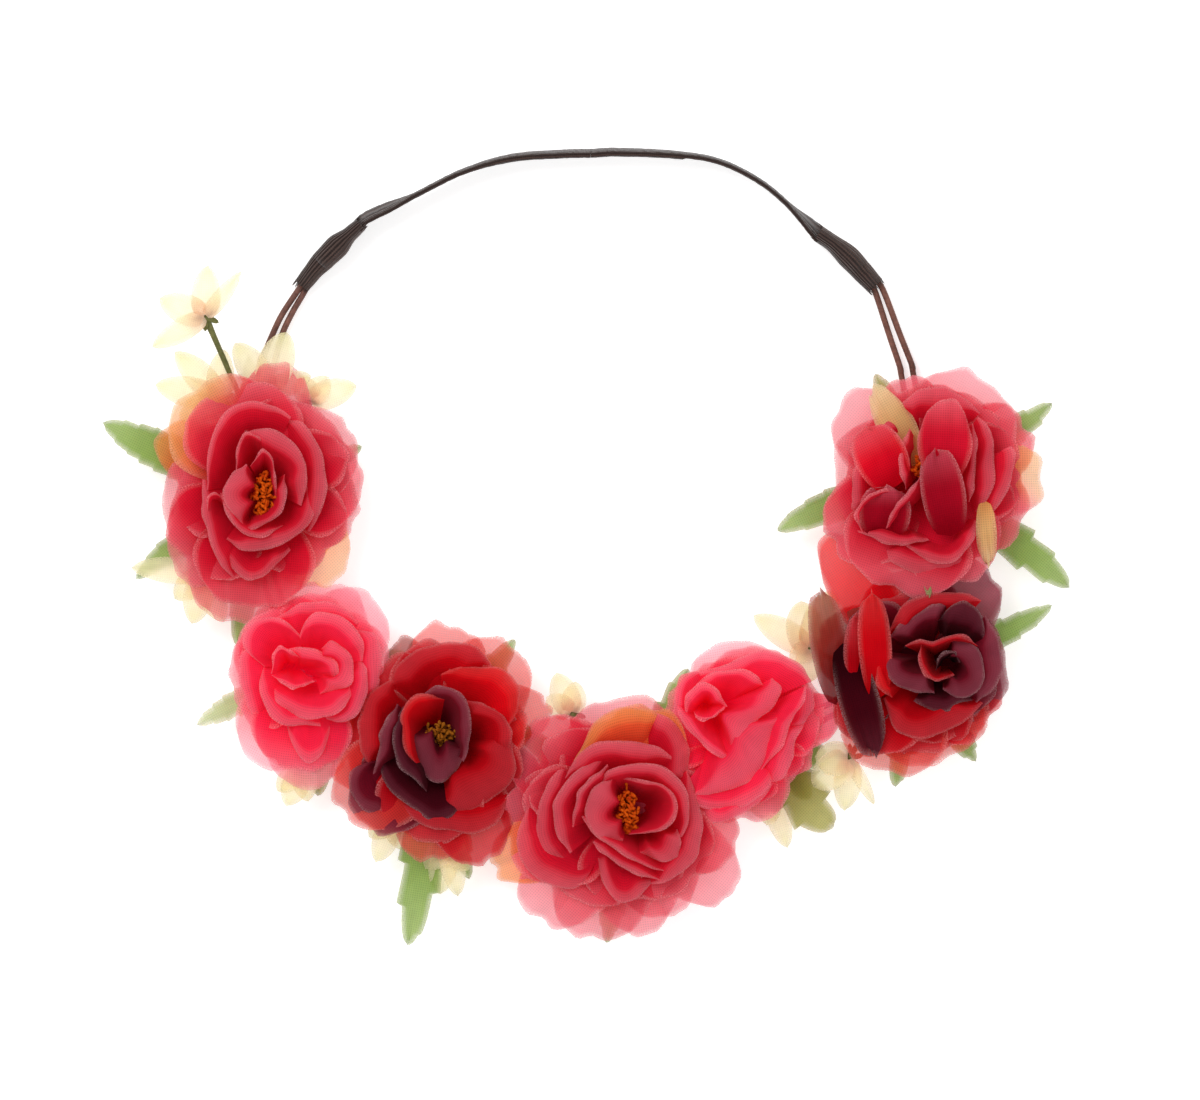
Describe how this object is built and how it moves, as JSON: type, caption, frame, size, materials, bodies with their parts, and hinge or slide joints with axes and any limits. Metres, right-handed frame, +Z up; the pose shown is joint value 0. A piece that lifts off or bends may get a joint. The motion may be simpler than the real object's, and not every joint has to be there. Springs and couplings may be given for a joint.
{
  "type": "flower crown",
  "caption": "Flower crown: a wire ring of layered fabric roses, woven leaves and small cream blossoms, closed at the back by a brown elastic band in ribbon sleeves.",
  "frame": {"origin": "middle of the head opening, on the surface that the crown lies on", "axes": "+Z up, the way the flowers face; +Y toward the elastic at the back; +X across the crown"},
  "size_m": [0.2574, 0.2118, 0.032],
  "materials": {
    "wire": "satin",
    "tape": "matte",
    "elastic": "matte",
    "sleeve": "matte",
    "stamens_orange": "matte",
    "stamens_yellow": "matte",
    "leaf": "matte",
    "stem_green": "satin",
    "blossom": "matte",
    "coral_cloth": "matte",
    "pink_cloth": "matte",
    "red_cloth": "matte"
  },
  "bodies": {
    "wreath": {"base_wire_inner": "wire", "base_wire_outer": "wire", "binding_tape": "tape", "coral_rose_front_inner_petals": "coral_cloth", "coral_rose_front_leaves": "leaf", "coral_rose_front_middle_petals": "coral_cloth", "coral_rose_front_outer_petals": "coral_cloth", "coral_rose_front_stamens": "stamens_orange", "coral_rose_front_stem": "stem_green", "coral_rose_left_inner_petals": "coral_cloth", "coral_rose_left_leaves": "leaf", "coral_rose_left_middle_petals": "coral_cloth", "coral_rose_left_outer_petals": "coral_cloth", "coral_rose_left_stamens": "stamens_orange", "coral_rose_left_stem": "stem_green", "coral_rose_right_inner_petals": "coral_cloth", "coral_rose_right_leaves": "leaf", "coral_rose_right_middle_petals": "coral_cloth", "coral_rose_right_outer_petals": "coral_cloth", "coral_rose_right_stamens": "stamens_orange", "coral_rose_right_stem": "stem_green", "elastic_band": "elastic", "pink_rose_left_inner_petals": "pink_cloth", "pink_rose_left_leaves": "leaf", "pink_rose_left_middle_petals": "pink_cloth", "pink_rose_left_outer_petals": "pink_cloth", "pink_rose_left_stem": "stem_green", "pink_rose_right_inner_petals": "pink_cloth", "pink_rose_right_leaves": "leaf", "pink_rose_right_middle_petals": "pink_cloth", "pink_rose_right_outer_petals": "pink_cloth", "pink_rose_right_stem": "stem_green", "red_rose_left_inner_petals": "red_cloth", "red_rose_left_leaves": "leaf", "red_rose_left_middle_petals": "red_cloth", "red_rose_left_outer_petals": "red_cloth", "red_rose_left_stamens": "stamens_yellow", "red_rose_left_stem": "stem_green", "red_rose_right_inner_petals": "red_cloth", "red_rose_right_leaves": "leaf", "red_rose_right_middle_petals": "red_cloth", "red_rose_right_outer_petals": "red_cloth", "red_rose_right_stem": "stem_green", "tucked_blossom_petals": "blossom", "tucked_blossom_twigs": "stem_green"},
    "bottom_blossom": {"bottom_blossom_petals": "blossom", "bottom_blossom_twig": "stem_green"},
    "inner_blossom": {"inner_blossom_petals": "blossom", "inner_blossom_twig": "stem_green"},
    "left_end": {"left_wire_pair": "wire", "ribbon_sleeve_left": "sleeve"},
    "lower_left_blossom": {"lower_left_blossom_petals": "blossom", "lower_left_blossom_twig": "stem_green"},
    "lower_right_blossom": {"lower_right_blossom_petals": "blossom", "lower_right_blossom_twig": "stem_green"},
    "right_end": {"ribbon_sleeve_right": "sleeve", "right_wire_pair": "wire"},
    "upper_left_blossom": {"upper_left_blossom_petals": "blossom", "upper_left_blossom_twig": "stem_green"}
  },
  "joints": [
    {"name": "left_side_flex", "type": "hinge", "parent": "wreath", "child": "left_end", "pos_m": [-0.0837, 0.03169, 0.0019], "axis": [0, 0, 1], "range_deg": [-6, 18], "stiffness_Nm_per_rad": 0.2, "deforming": ["elastic_band"]},
    {"name": "right_side_flex", "type": "hinge", "parent": "wreath", "child": "right_end", "pos_m": [0.08518, 0.02919, 0.0019], "axis": [0, 0, -1], "range_deg": [-6, 18], "stiffness_Nm_per_rad": 0.2, "deforming": ["elastic_band"]},
    {"name": "upper_left_twig_swing", "type": "hinge", "parent": "wreath", "child": "upper_left_blossom", "pos_m": [-0.08784, 0.00256, 0.006], "axis": [0, 0, 1], "range_deg": [-12, 3]},
    {"name": "lower_left_twig_swing", "type": "hinge", "parent": "wreath", "child": "lower_left_blossom", "pos_m": [-0.08807, -0.01074, 0.006], "axis": [0, 0, 1], "range_deg": [-12, 8]},
    {"name": "bottom_twig_swing", "type": "hinge", "parent": "wreath", "child": "bottom_blossom", "pos_m": [-0.03508, -0.07369, 0.006], "axis": [0, 0, 1], "range_deg": [-10, 10]},
    {"name": "inner_twig_swing", "type": "hinge", "parent": "wreath", "child": "inner_blossom", "pos_m": [0.08053, -0.05608, 0.006], "axis": [0, 0, 1], "range_deg": [-14, 3]},
    {"name": "lower_right_twig_swing", "type": "hinge", "parent": "wreath", "child": "lower_right_blossom", "pos_m": [0.08289, -0.05285, 0.006], "axis": [0, 0, 1], "range_deg": [-2, 14]}
  ]
}
